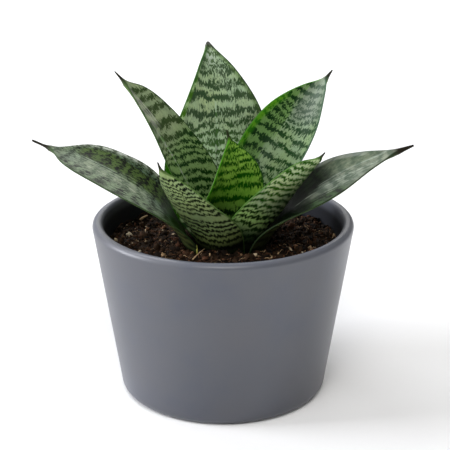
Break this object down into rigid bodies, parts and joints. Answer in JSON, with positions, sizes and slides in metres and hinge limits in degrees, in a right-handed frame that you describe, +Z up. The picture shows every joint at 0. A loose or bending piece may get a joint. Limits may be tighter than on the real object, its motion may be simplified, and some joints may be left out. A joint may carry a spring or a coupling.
{
  "type": "potted snake plant",
  "caption": "Young birds nest snake plant, a low rosette of cupped leaves with cross bands, rooted in soil in a smooth tapered round pot.",
  "frame": {"origin": "on the pot's axis at the level of its foot, which is also the middle of the whole part's outline seen from above", "axes": "+Z up along the pot's axis, -Y towards the pictured front, +X to the picture's right, which is the widest spread of the leaves"},
  "size_m": [0.2062, 0.142, 0.1861],
  "materials": {
    "stoneware": "smooth dark grey glazed stoneware with a soft satin sheen",
    "potting_soil": "dark brown peat with reddish fibres, crumbs and a few pale grains",
    "rhizome": "pale orange-brown waxy skin",
    "leaf": "waxy satin leaf, grey-green cross bands on dark green, dark tip spine",
    "young_leaf": "waxy satin leaf, bright green with dark wavy cross bands"
  },
  "bodies": {
    "root": {"pot": "stoneware", "soil": "potting_soil", "rhizome": "rhizome", "leaf_young": "young_leaf", "leaf_right_upper": "leaf", "leaf_left_upper": "leaf", "leaf_back": "leaf", "leaf_front_right": "leaf", "leaf_front_left": "leaf", "leaf_right_outer": "leaf", "leaf_left_outer": "leaf"}
  },
  "joints": []
}
